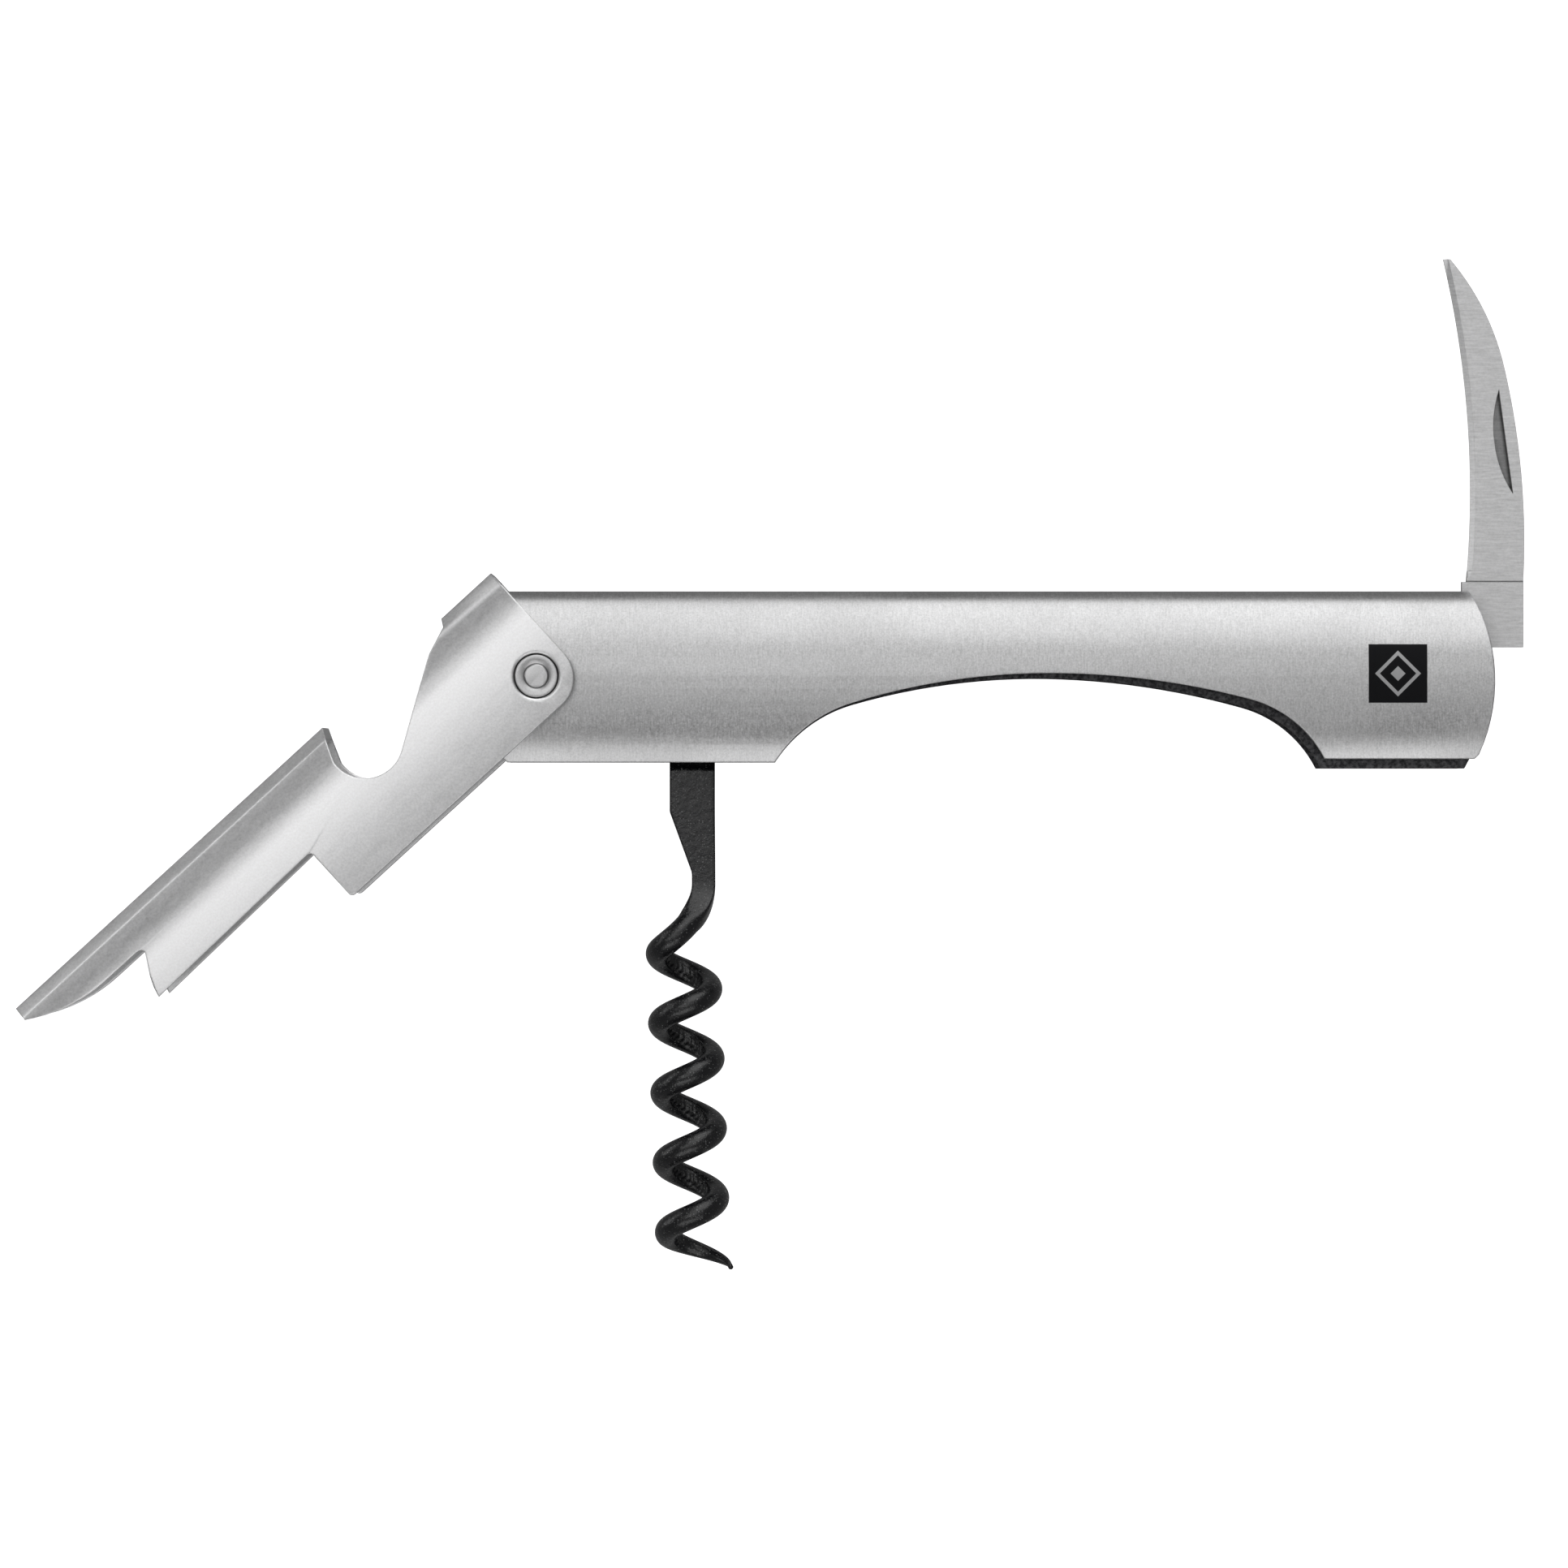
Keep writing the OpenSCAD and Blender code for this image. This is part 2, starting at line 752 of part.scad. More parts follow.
// The ground bevel on one side of the cutting edge, from the shoulder to the tip
module edge_bevel() {
    intersection() {
        translate([edge_centre[0], edge_centre[1], 0])
            rotate_extrude($fn = 360)
                polygon([
                    [edge_r - 1, edge_t / 2], [edge_r, edge_t / 2],
                    [edge_r + bevel_w, knife_t / 2], [edge_r + bevel_w, knife_t], [edge_r - 1, knife_t]
                ]);
        translate([-tang_w, blade_y + 1.2, 0])
            cube([3 * tang_w, 2 * knife_len, big]);
    }
}

// The nail nick: a crescent whose straight side follows the back of the blade, with a floor
// that slopes down towards that side
module nail_nick() {
    translate([nick_at[0], nick_at[1], knife_t / 2 - grind])
        rotate(7.7)
            intersection() {
                linear_extrude(knife_t, center = true)
                    intersection() {
                        translate([nick_r - nick_w, 0])
                            circle(nick_r);
                        band(-nick_r, 0, -nick_r, nick_r);
                    }
                translate([-nick_w, -nick_r, 0])
                    rotate([0, atan(nick_depth / nick_w), 0])
                        cube([big, 2 * nick_r, big]);
            }
}

// The blade is ground a little thinner than the tang; this is what is ground off one side
module ground_face() {
    translate([-big / 2, blade_y, knife_t / 2 - grind])
        cube([big, big, knife_t]);
}

module knife_blade() {
    color(steel)
        translate(origin)
            translate([knife_x, knife_y, 0])
                difference() {
                    linear_extrude(knife_t, center = true)
                        knife_outline();
                    cylinder(r = tool_pin_r + running, h = big, center = true);
                    for (side = [0, 1])
                        mirror([0, 0, side]) {
                            edge_bevel();
                            ground_face();
                        }
                    nail_nick();
                }
}

module knife_pin() {
    color(steel)
        translate(origin)
            translate([knife_x, knife_y, 0])
                pin(tool_pin_r, liner_out, 0.1);
}

module knife_spacer(side) {
    color(steel)
        translate(origin)
            translate([knife_x, knife_y, 0])
                mirror([0, 0, side])
                    tube(tool_spacer_d, tool_pin_d, knife_t / 2 + side_gap, frame_gap / 2);
}

module front_knife_spacer() {
    knife_spacer(0);
}

module back_knife_spacer() {
    knife_spacer(1);
}

// ---------- assembly ----------

handle_shell();
front_liner();
back_liner();
middle_spacer();
rear_spacer();
lever_bush();
lever();
lever_pin();
front_rivet_washer();
back_rivet_washer();
front_shim();
back_shim();
worm();
worm_pin();
front_worm_spacer();
back_worm_spacer();
knife_blade();
knife_pin();
front_knife_spacer();
back_knife_spacer();
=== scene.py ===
"""A lever corkscrew lying on its side on a pale floor, seen from straight above.

Shapes are given in millimetres from the lever's pin, on the plane halfway between the cheeks.
"""

import json
import math
from collections import namedtuple

import bpy
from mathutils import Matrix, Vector


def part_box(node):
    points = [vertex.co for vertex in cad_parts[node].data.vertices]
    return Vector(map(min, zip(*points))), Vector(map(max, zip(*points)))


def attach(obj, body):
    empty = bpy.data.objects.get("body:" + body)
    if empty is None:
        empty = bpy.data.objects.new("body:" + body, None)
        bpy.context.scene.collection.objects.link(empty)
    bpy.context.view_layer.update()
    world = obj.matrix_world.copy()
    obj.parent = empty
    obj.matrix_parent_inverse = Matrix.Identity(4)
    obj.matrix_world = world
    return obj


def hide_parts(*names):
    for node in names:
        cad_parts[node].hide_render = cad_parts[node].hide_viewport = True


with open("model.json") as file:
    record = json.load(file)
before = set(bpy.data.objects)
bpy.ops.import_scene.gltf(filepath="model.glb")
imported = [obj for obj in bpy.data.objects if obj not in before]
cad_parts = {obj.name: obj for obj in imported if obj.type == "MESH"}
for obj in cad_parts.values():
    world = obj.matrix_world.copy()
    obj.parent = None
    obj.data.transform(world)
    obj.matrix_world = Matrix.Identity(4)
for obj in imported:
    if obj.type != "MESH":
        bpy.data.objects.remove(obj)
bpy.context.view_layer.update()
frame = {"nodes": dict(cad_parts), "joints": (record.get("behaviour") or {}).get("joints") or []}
MM = 0.001

# ---------- places, from the frame ----------


def joint_at(name):
    """The point of a joint's pin, in metres."""
    joint = next(j for j in frame["joints"] if j["name"] == name)
    return Vector(joint["pos_m"])


def design(x, y):
    """A point given in millimetres from the lever's pin, in metres in the frame."""
    return lever_pin + Vector((x, y, 0)) * MM


lever_pin = joint_at("lever_hinge")
shell_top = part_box("handle_shell")[1].z

# ---------- node helpers ----------

COLOUR_A, COLOUR_B, COLOUR_OUT = 6, 7, 2    # the colour sockets of a Mix node
# rays for the rounded edges' normals, and for the painted shade in narrow gaps
BEVEL_RAYS, GAP_SHADE_RAYS = 6, 8
GAP_SHADE_SPAN = (0.45, 0.95)             # open air round a point, from fully darkened to not at all


class Nodes:
    """Short calls that add nodes to one material."""

    def __init__(self, name):
        self.material = bpy.data.materials.new(name)
        self.material.use_nodes = True
        self.tree = self.material.node_tree
        self.tree.nodes.clear()
        self.out = self.tree.nodes.new("ShaderNodeOutputMaterial")
        self.shader = self.tree.nodes.new("ShaderNodeBsdfPrincipled")
        self.link(self.shader.outputs["BSDF"], self.out.inputs["Surface"])

    def link(self, a, b):
        self.tree.links.new(a, b)

    def new(self, kind, **values):
        node = self.tree.nodes.new(kind)
        for key, value in values.items():
            setattr(node, key, value)
        return node

    def feed(self, socket, value):
        """Links a socket to another node's output, or sets it to a plain value."""
        if isinstance(value, bpy.types.NodeSocket):
            self.link(value, socket)
        else:
            socket.default_value = value

    def place(self, scale=(1, 1, 1), turn=0.0, origin=(0, 0, 0)):
        """Object coordinates in millimetres from an origin, in axes turned about Z, times a scale."""
        where = self.new("ShaderNodeTexCoord")
        spin = self.new("ShaderNodeMapping", vector_type="TEXTURE")
        spin.inputs["Location"].default_value = origin
        spin.inputs["Rotation"].default_value = (0, 0, math.radians(turn))
        spin.inputs["Scale"].default_value = [MM / s for s in scale]
        self.link(where.outputs["Object"], spin.inputs["Vector"])
        return spin.outputs["Vector"]

    def axes(self, vector):
        split = self.new("ShaderNodeSeparateXYZ")
        self.link(vector, split.inputs[0])
        return split.outputs

    def noise(self, vector, scale=1.0, detail=2.0, rough=0.5):
        node = self.new("ShaderNodeTexNoise")
        self.feed(node.inputs["Vector"], vector)
        node.inputs["Scale"].default_value = scale
        node.inputs["Detail"].default_value = detail
        node.inputs["Roughness"].default_value = rough
        return node.outputs["Fac"]

    def cells(self, vector, scale):
        """The outputs of a cell pattern: each cell's colour, and the distance from its middle."""
        node = self.new("ShaderNodeTexVoronoi", feature="F1")
        self.feed(node.inputs["Vector"], vector)
        node.inputs["Scale"].default_value = scale
        return node.outputs

    def remap(self, value, span, low=0.0, high=1.0):
        """A value that runs from low to high while the given one crosses the span."""
        node = self.new("ShaderNodeMapRange", clamp=True)
        sockets = ("Value", "From Min", "From Max", "To Min", "To Max")
        for socket, v in zip(sockets, (value, *span, low, high)):
            self.feed(node.inputs[socket], v)
        return node.outputs["Result"]

    def math(self, operation, a, b=0.0):
        node = self.new("ShaderNodeMath", operation=operation)
        self.feed(node.inputs[0], a)
        self.feed(node.inputs[1], b)
        return node.outputs[0]

    def weigh(self, a, share, b):
        """The given share of one value, plus the rest from another."""
        return self.math("ADD", self.math("MULTIPLY", a, share), self.math("MULTIPLY", b, 1 - share))

    def mix(self, factor, a, b):
        """Mix of two colours."""
        node = self.new("ShaderNodeMix", data_type="RGBA")
        self.feed(node.inputs["Factor"], factor)
        for socket, v in ((COLOUR_A, a), (COLOUR_B, b)):
            self.feed(node.inputs[socket], v if isinstance(v, bpy.types.NodeSocket) else (*v, 1.0))
        return node.outputs[COLOUR_OUT]

    def grey(self, value, low, high):
        """A colour between two faintly bluish greys, by a value from 0 to 1."""
        return self.mix(value, (low, low, low * 1.005), (high, high, high * 1.005))

    def bump(self, height, distance_mm, strength=1.0, below=None):
        node = self.new("ShaderNodeBump")
        node.inputs["Strength"].default_value = strength
        node.inputs["Distance"].default_value = distance_mm * MM
        self.link(height, node.inputs["Height"])
        if below is not None:
            self.link(below, node.inputs["Normal"])
        return node.outputs["Normal"]

    def edge(self, radius_mm):
        """A normal that turns over at sharp edges, as the tumbled edges of sheet metal do."""
        node = self.new("ShaderNodeBevel", samples=BEVEL_RAYS)
        node.inputs["Radius"].default_value = radius_mm * MM
        return node.outputs["Normal"]

    def paint_gap_shade(self, colour, reach_mm, darkest=0.25):
        """The colour darkened in narrow gaps, by how little open air there is round each point: painted
        shade.
        """
        node = self.new("ShaderNodeAmbientOcclusion", samples=GAP_SHADE_RAYS)
        node.inputs["Distance"].default_value = reach_mm * MM
        open_air = self.remap(node.outputs["AO"], GAP_SHADE_SPAN, darkest, 1.0)
        dark = self.new("ShaderNodeMix", data_type="RGBA", blend_type="MULTIPLY")
        dark.inputs["Factor"].default_value = 1.0
        self.feed(dark.inputs[COLOUR_A], colour)
        self.link(open_air, dark.inputs[COLOUR_B])
        return dark.outputs[COLOUR_OUT]

    def finish(self, colour, roughness, normal=None, metallic=1.0, **constants):
        """Feeds the shader, sets its other sockets by name, and returns the material."""
        self.feed(self.shader.inputs["Base Color"], colour)
        self.feed(self.shader.inputs["Roughness"], roughness)
        self.shader.inputs["Metallic"].default_value = metallic
        if normal is not None:
            self.link(normal, self.shader.inputs["Normal"])
        for name, value in constants.items():
            self.shader.inputs[name.replace("_", " ")].default_value = value
        return self.material


# ---------- materials ----------

SHARP_SPAN = (0.36, 0.64)               # noise values spread over a whole range, with strong contrast
SOFT_SPAN = (0.3, 0.7)                  # the same with less contrast
CORNER_R = 0.28                         # rounding of the shell's and the lever's sheet edges
BADGE_CENTRE = (98.3, 0.3)
BADGE_HALF = 3.35
BADGE_FRONT = (5.0, 5.1)                # it shows above this height only, so on the front cheek
BADGE_ROUGH = 0.12                      # roughness that it adds
EDGE_BLUR = 0.03
RING_REACH, RING_HALF = 2.35, (0.24, 0.3)       # the motif's ring, with a soft edge to its half width
DIAMOND_REACH = (0.82, 0.88)            # the diamond inside the ring, with a soft edge


def badge_mask(n):
    """1 on the dark square on the shell's front cheek, and 1 on its motif, a diamond in a diamond ring."""
    x, y, z = n.axes(n.place(origin=design(*BADGE_CENTRE)))
    x = n.math("ABSOLUTE", x)
    y = n.math("ABSOLUTE", y)
    border = (BADGE_HALF - EDGE_BLUR, BADGE_HALF + EDGE_BLUR)
    square = n.remap(n.math("MAXIMUM", x, y), border, 1.0, 0.0)
    front = n.remap(z, BADGE_FRONT)
    across = n.math("ADD", x, y)
    off_ring = n.math("ABSOLUTE", n.math("SUBTRACT", across, RING_REACH))
    ring = n.remap(off_ring, RING_HALF, 1.0, 0.0)
    diamond = n.remap(across, DIAMOND_REACH, 1.0, 0.0)
    return n.math("MULTIPLY", square, front), n.math("MAXIMUM", ring, diamond)


def grain(n, scale):
    """Long fine scratches along the axis whose scale is smallest, from two sizes of stretched noise."""
    fine = n.noise(n.place(scale=scale), detail=3.0, rough=0.65)
    broad = n.noise(n.place(scale=[s * 0.35 for s in scale]))
    return n.weigh(fine, 0.85, broad)


def brushed_shell():
    """Sheet brushed across the handle's length, with fine pits and slow changes of gloss."""
    n = Nodes("brushed_shell")
    lines = grain(n, (6.0, 0.9, 0.9))
    pits = n.noise(n.place(), scale=4.2, rough=0.8)
    cloud = n.noise(n.place(), scale=0.08)
    tone = n.weigh(lines, 0.45, pits)
    steel = n.grey(n.remap(tone, SHARP_SPAN), 0.40, 0.62)
    badge, motif = badge_mask(n)
    ink = n.mix(motif, (0.012, 0.012, 0.013), (0.36, 0.36, 0.365))
    # Painted shade: steel and print are darkened in narrow gaps, down to 0.4 of their colour.
    colour = n.paint_gap_shade(n.mix(badge, steel, ink), reach_mm=0.6, darkest=0.4)
    haze = n.remap(cloud, (0.35, 0.65), -0.03, 0.03)
    rough = n.math("ADD", n.remap(tone, SOFT_SPAN, 0.30, 0.42), haze)
    rough = n.math("ADD", rough, n.math("MULTIPLY", badge, BADGE_ROUGH))
    normal = n.bump(tone, distance_mm=0.012, strength=0.55, below=n.edge(CORNER_R))
    return n.finish(colour, rough, normal)


LEVER_ANGLE = 222.5                     # direction of the lever from its pin, in degrees
CROWN_LINE, CROWN_R = 1.5, 48.0         # middle and radius of the very slight crown of its cheeks


def satin_lever():
    """Sheet with a bead-blasted satin, drawn a little along the lever."""
    n = Nodes("satin_lever")
    bead = n.noise(n.place(), scale=3.6, detail=3.0, rough=0.75)
    soft = n.noise(n.place(scale=(0.3, 1.4, 0.3), turn=LEVER_ANGLE))
    tone = n.weigh(bead, 0.75, soft)
    # Painted shade: the satin grey is darkened in narrow gaps.
    colour = n.paint_gap_shade(n.grey(n.remap(tone, SHARP_SPAN), 0.69, 0.85), reach_mm=0.6)
    across = n.axes(n.place(turn=LEVER_ANGLE, origin=lever_pin))[1]
    off = n.math("SUBTRACT", n.math("MULTIPLY", across, -1.0), CROWN_LINE)
    crown = n.math("MULTIPLY", n.math("MULTIPLY", off, off), -0.5 / CROWN_R)
    crowned = n.bump(crown, distance_mm=1.0, below=n.edge(CORNER_R))
    normal = n.bump(tone, distance_mm=0.010, strength=0.5, below=crowned)
    return n.finish(colour, n.remap(tone, SOFT_SPAN, 0.32, 0.42), normal)


def painted_shade_liner():
    """Sheet coloured near-black as painted shade for the inside of the handle, mottled with grey."""
    n = Nodes("painted_shade_liner")
    mottle = n.noise(n.place(), scale=2.2, detail=4.0, rough=0.7)
    fine = n.noise(n.place(), scale=9.0, rough=0.6)
    # The near-black colour is painted shade inside the handle; the grey mottle is random.
    colour = n.mix(n.remap(mottle, (0.4, 0.68)), (0.018, 0.018, 0.02), (0.11, 0.11, 0.115))
    rough = n.remap(fine, SOFT_SPAN, 0.42, 0.62)
    return n.finish(colour, rough, n.bump(fine, distance_mm=0.015, strength=0.6), metallic=0.75)


RINGS_PER_MM = 14.0


def turned_steel(name, centre):
    """Plain steel with fine rings round a pin's axis."""
    n = Nodes(name)
    x, y, _ = n.axes(n.place(origin=centre))
    flat = n.new("ShaderNodeCombineXYZ")
    n.link(x, flat.inputs[0])
    n.link(y, flat.inputs[1])
    length = n.new("ShaderNodeVectorMath", operation="LENGTH")
    n.link(flat.outputs[0], length.inputs[0])
    rings = n.noise(n.math("MULTIPLY", length.outputs["Value"], RINGS_PER_MM), rough=0.6)
    speck = n.noise(n.place(), scale=7.0, detail=3.0, rough=0.7)
    tone = n.weigh(rings, 0.4, speck)
    # Painted shade: the grey is darkened in the narrow gaps round washers and pins, down to 0.15 of
    # itself.
    colour = n.paint_gap_shade(n.grey(n.remap(tone, SOFT_SPAN), 0.42, 0.66), reach_mm=0.5, darkest=0.15)
    normal = n.bump(tone, distance_mm=0.012, strength=0.6, below=n.edge(0.10))
    return n.finish(colour, n.remap(tone, SOFT_SPAN, 0.26, 0.44), normal)


def worm_coating():
    """Black coating with a lumpy, gritty surface, and a few pale specks painted into its colour as glints.
    """
    n = Nodes("worm_coating")
    glint_cells = n.cells(n.place(), scale=5.0)
    pick = n.new("ShaderNodeSeparateColor")
    n.link(glint_cells["Color"], pick.inputs[0])
    chosen = n.remap(pick.outputs[0], (0.72, 0.98))
    spot = n.remap(glint_cells["Distance"], (0.2, 0.45), 1.0, 0.0)
    painted_glint = n.math("MULTIPLY", chosen, spot)
    # The pale specks in the colour are painted glints.
    colour = n.mix(painted_glint, (0.003, 0.003, 0.004), (0.15, 0.153, 0.153))
    fine = n.noise(n.place(), scale=3.6, detail=3.0, rough=0.75)
    lumps = n.noise(n.place(), scale=1.3)
    lumpy = n.bump(lumps, distance_mm=0.08, strength=0.6)
    normal = n.bump(fine, distance_mm=0.045, strength=0.8, below=lumpy)
    n.link(normal, n.shader.inputs["Coat Normal"])
    gloss = {"Coat_Weight": 0.35, "Coat_Roughness": 0.10, "Specular_IOR_Level": 0.4}
    return n.finish(colour, n.remap(fine, (0.38, 0.62), 0.16, 0.34), normal, metallic=0.0, **gloss)


SHOULDER_RISE = 6.9                     # height of the line between tang and blade above the knife's pin
SHOULDER_HALF = (0.05, 0.13)            # half width of the line, where it is full and where it ends
SHOULDER_DEPTH = 0.08


def blade_steel():
    """Stainless steel ground across the blade; the line of its shoulder is a shallow groove, darkened by
    painted shade.
    """
    n = Nodes("blade_steel")
    lines = grain(n, (0.5, 4.0, 0.5))
    speck = n.noise(n.place(), scale=3.4, rough=0.7)
    tone = n.weigh(lines, 0.7, speck)
    colour = n.grey(n.remap(tone, SHARP_SPAN), 0.50, 0.70)
    shoulder = joint_at("knife_hinge") + Vector((0, SHOULDER_RISE * MM, 0))
    height = n.math("ABSOLUTE", n.axes(n.place(origin=shoulder))[1])
    line = n.remap(height, SHOULDER_HALF, 1.0, 0.0)
    # Painted shade of the step at the shoulder: the line is darkened towards a dark grey.
    colour = n.mix(n.math("MULTIPLY", line, 0.55), colour, (0.16, 0.16, 0.16))
    ground = n.bump(tone, distance_mm=0.010, strength=0.5, below=n.edge(0.08))
    normal = n.bump(line, distance_mm=-SHOULDER_DEPTH, below=ground)
    # Painted shade: the colour is darkened in narrow gaps, down to 0.4 of itself.
    colour = n.paint_gap_shade(colour, reach_mm=0.5, darkest=0.4)
    return n.finish(colour, n.remap(tone, SOFT_SPAN, 0.34, 0.46), normal)


# ---------- CAD nodes: edges and materials ----------

WELD_GAP = 0.001
BEVEL_ANGLE, BEVEL_SEGMENTS = 32, 3     # edges that turn by more degrees than this are rounded


def smooth(o, weld_gap, bevel=0.0):
    """Welds an object's facets, rounds its sharp edges by a bevel if it has one, and shades it smooth."""
    o.data.polygons.foreach_set("use_smooth", [True] * len(o.data.polygons))
    o.modifiers.new("weld", "WELD").merge_threshold = weld_gap * MM
    if bevel:
        edge = o.modifiers.new("edge", "BEVEL")
        edge.width = bevel * MM
        edge.segments = BEVEL_SEGMENTS
        edge.limit_method = "ANGLE"
        edge.angle_limit = math.radians(BEVEL_ANGLE)
        edge.harden_normals = False
        edge.use_clamp_overlap = True
    o.modifiers.new("shade", "WEIGHTED_NORMAL").keep_sharp = True


def dress(node, material, bevel):
    """Gives a CAD node its material and its rounded edges."""
    o = frame["nodes"][node]
    o.data.materials.clear()
    o.data.materials.append(material)
    smooth(o, WELD_GAP, bevel)


SHELL_BEVEL, LEVER_BEVEL, LINER_BEVEL, SMALL_BEVEL = 0.30, 0.22, 0.06, 0.04
PIN_NODES = {
    "lever_hinge": [
        "lever_pin", "front_rivet_washer", "back_rivet_washer", "front_shim", "back_shim", "lever_bush",
    ],
    "worm_hinge": ["worm_pin", "front_worm_spacer", "back_worm_spacer"],
    "knife_hinge": ["knife_pin", "front_knife_spacer", "back_knife_spacer"],
}

dress("handle_shell", brushed_shell(), SHELL_BEVEL)
dress("lever", satin_lever(), LEVER_BEVEL)
liner_material = painted_shade_liner()
for node in ("front_liner", "back_liner"):
    dress(node, liner_material, LINER_BEVEL)
dress("knife_blade", blade_steel(), SMALL_BEVEL)
for joint, nodes in PIN_NODES.items():
    pin_material = turned_steel("turned_" + joint, joint_at(joint))
    for node in nodes:
        dress(node, pin_material, SMALL_BEVEL)
for node in ("middle_spacer", "rear_spacer"):
    low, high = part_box(node)
    dress(node, turned_steel("turned_" + node, (low + high) / 2), SMALL_BEVEL)

# ---------- worm: a round wire with a grooved inner side, on a flat shank ----------

worm_pin = (joint_at("worm_hinge") - lever_pin) / MM
TANG_R = 3.4
PIN_HOLE_R = 1.28
TANG_EDGE, TANG_STEPS = 0.22, 48        # rounding of the tang's edges, and points round its outline
SHANK_W, SHANK_T = 5.2, 2.0
SHANK_TOP = -9.3                        # the swept part starts here, inside the handle
SHOULDER_Y = worm_pin.y - 12.1          # the shank starts to narrow here
NECK_X, NECK_Y, NECK_W = 19.0, -22.0, 2.7
NARROW_Y = NECK_Y - 0.5                 # the shank has narrowed to the neck here
SHOULDER_CUT = 0.12                     # the corner at the shoulder is cut off over twice this height
NECK_CUT_ABOVE, NECK_CUT_BELOW = 0.15, 0.2      # and the corner at the neck over these two
WIRE_R = 1.4
COIL_R = 2.95
PITCH, TURNS = 8.0, 5.0
COIL_TOP = (16.55, -27.85)
COIL_LEAN = 0.033                       # sideways lean of the coil's axis, for its height
JOIN_TURN = 0.42                        # the bend from the shank meets the coil after this part of a turn
BEND_Y = NECK_Y - 1.5                   # the bend starts here
BEND_DROP = Vector((0.15, -4.3, 0.2))   # from its start to the second point of its curve
BEND_LEAD = 3.4                         # from the third point of its curve to the coil
ROUND_BY, TURN_FROM, GROOVE_FROM = 0.5, 0.35, 0.6    # parts of the bend's length
BEND_RINGS, COIL_RINGS = 60, 560
POINT_TURNS, POINT_FLARE, POINT_R = 0.5, 1.3, 0.3
POINT_TAPER = 0.55                      # below 1, the wire stays full for longer and ends more bluntly
WIRE_SIDES = 48
SHANK_SQUARE = 12.0                     # added to the power 2 of a round ring where the shank is flat
GROOVE_HALF, GROOVE_FLANK = 36.0, 9.0   # half width of the groove and width of its sides, in degrees
GROOVE_DEPTH = 0.34
DIP_AT, DIP_HALF, DIP_DEPTH = 2.0, 7.0, 0.03    # a shallow dip just outside the groove
RIDGE_GAP, RIDGE_H = 0.95, 0.10         # ridges along the groove, bent into chevrons
RIDGE_HALF = 0.25                       # half width of a ridge, as a part of the gap
RIDGE_SLANT = 0.018                     # millimetres along the wire for each degree round it
SMALL = 0.01                            # step along a curve for its direction

Ring = namedtuple("Ring", "centre way wide thick facing groove square")


def between(a, b, part):
    """The value a part of the way from a to b."""
    return a + (b - a) * part


def smooth_step(x):
    """A smooth rise from 0 to 1 while x does the same, level before and after."""
    x = min(1.0, max(0.0, x))
    return x * x * (3 - 2 * x)


def bezier(p, s):
    """The point at s, from 0 to 1, of the cubic curve with the four given points."""
    return p[0] * (1 - s) ** 3 + p[1] * 3 * s * (1 - s) ** 2 + p[2] * 3 * s * s * (1 - s) + p[3] * s ** 3


def coil_at(k):
    """The point of the wire's middle after k turns of the coil."""
    r = COIL_R + POINT_FLARE * max(0.0, (k - TURNS + POINT_TURNS) / POINT_TURNS)
    a = 2 * math.pi * k
    x = COIL_TOP[0] + COIL_LEAN * PITCH * k + r * math.cos(a)
    return Vector((x, COIL_TOP[1] - PITCH * k, r * math.sin(a)))


def shank_rings():
    """The flat shank: straight down to the shoulder, then in, nearly all on one side, to the neck.

    Close pairs of rings at the shoulder and the neck cut off the corners there.
    """
    straight = (SHANK_TOP, -11.0, -12.5, -14.0, SHOULDER_Y + SHOULDER_CUT)
    slanted = (SHOULDER_Y - SHOULDER_CUT, -17.5, -19.5, -21.0, NARROW_Y + NECK_CUT_ABOVE)
    neck = (NARROW_Y - NECK_CUT_BELOW, -23.2)
    for y in (*straight, *slanted, *neck):
        part = min(1.0, max(0.0, (SHOULDER_Y - y) / (SHOULDER_Y - NARROW_Y)))
        left = between(worm_pin.x - SHANK_W / 2, NECK_X - NECK_W / 2, part)
        right = between(worm_pin.x + SHANK_W / 2, NECK_X + NECK_W / 2, part)
        centre = Vector(((left + right) / 2, y, 0))
        yield Ring(centre, Vector((0, -1, 0)), (right - left) / 2, SHANK_T / 2, 0.0, 0.0, 1.0)


def bend_rings():
    """The stretch where the flat neck turns round and swings out into the coil."""
    join = coil_at(JOIN_TURN)
    join_way = (coil_at(JOIN_TURN + SMALL) - join).normalized()
    neck = Vector((NECK_X, BEND_Y, 0))
    bend = [neck, neck + BEND_DROP, join - join_way * BEND_LEAD, join]
    for i in range(1, BEND_RINGS):
        s = i / BEND_RINGS
        way = (bezier(bend, s + SMALL) - bezier(bend, s)).normalized()
        grown = smooth_step(s / ROUND_BY)
        wide = between(NECK_W / 2, WIRE_R, grown)
        thick = between(SHANK_T / 2, WIRE_R, grown)
        facing = 2 * math.pi * JOIN_TURN * smooth_step((s - TURN_FROM) / (1 - TURN_FROM))
        groove = smooth_step((s - GROOVE_FROM) / (1 - GROOVE_FROM))
        yield Ring(bezier(bend, s), way, wide, thick, facing, groove, 1.0 - grown)


def coil_rings():
    """The coil down to its tapered point, with the groove always facing the coil's axis."""
    for i in range(COIL_RINGS + 1):
        k = between(JOIN_TURN, TURNS, i / COIL_RINGS)
        way = (coil_at(k + SMALL) - coil_at(k - SMALL)).normalized()
        left = min(1.0, (TURNS - k) / POINT_TURNS)
        r = max(POINT_R, WIRE_R * left ** POINT_TAPER)
        yield Ring(coil_at(k), way, r, r, 2 * math.pi * k, smooth_step(left), 0.0)


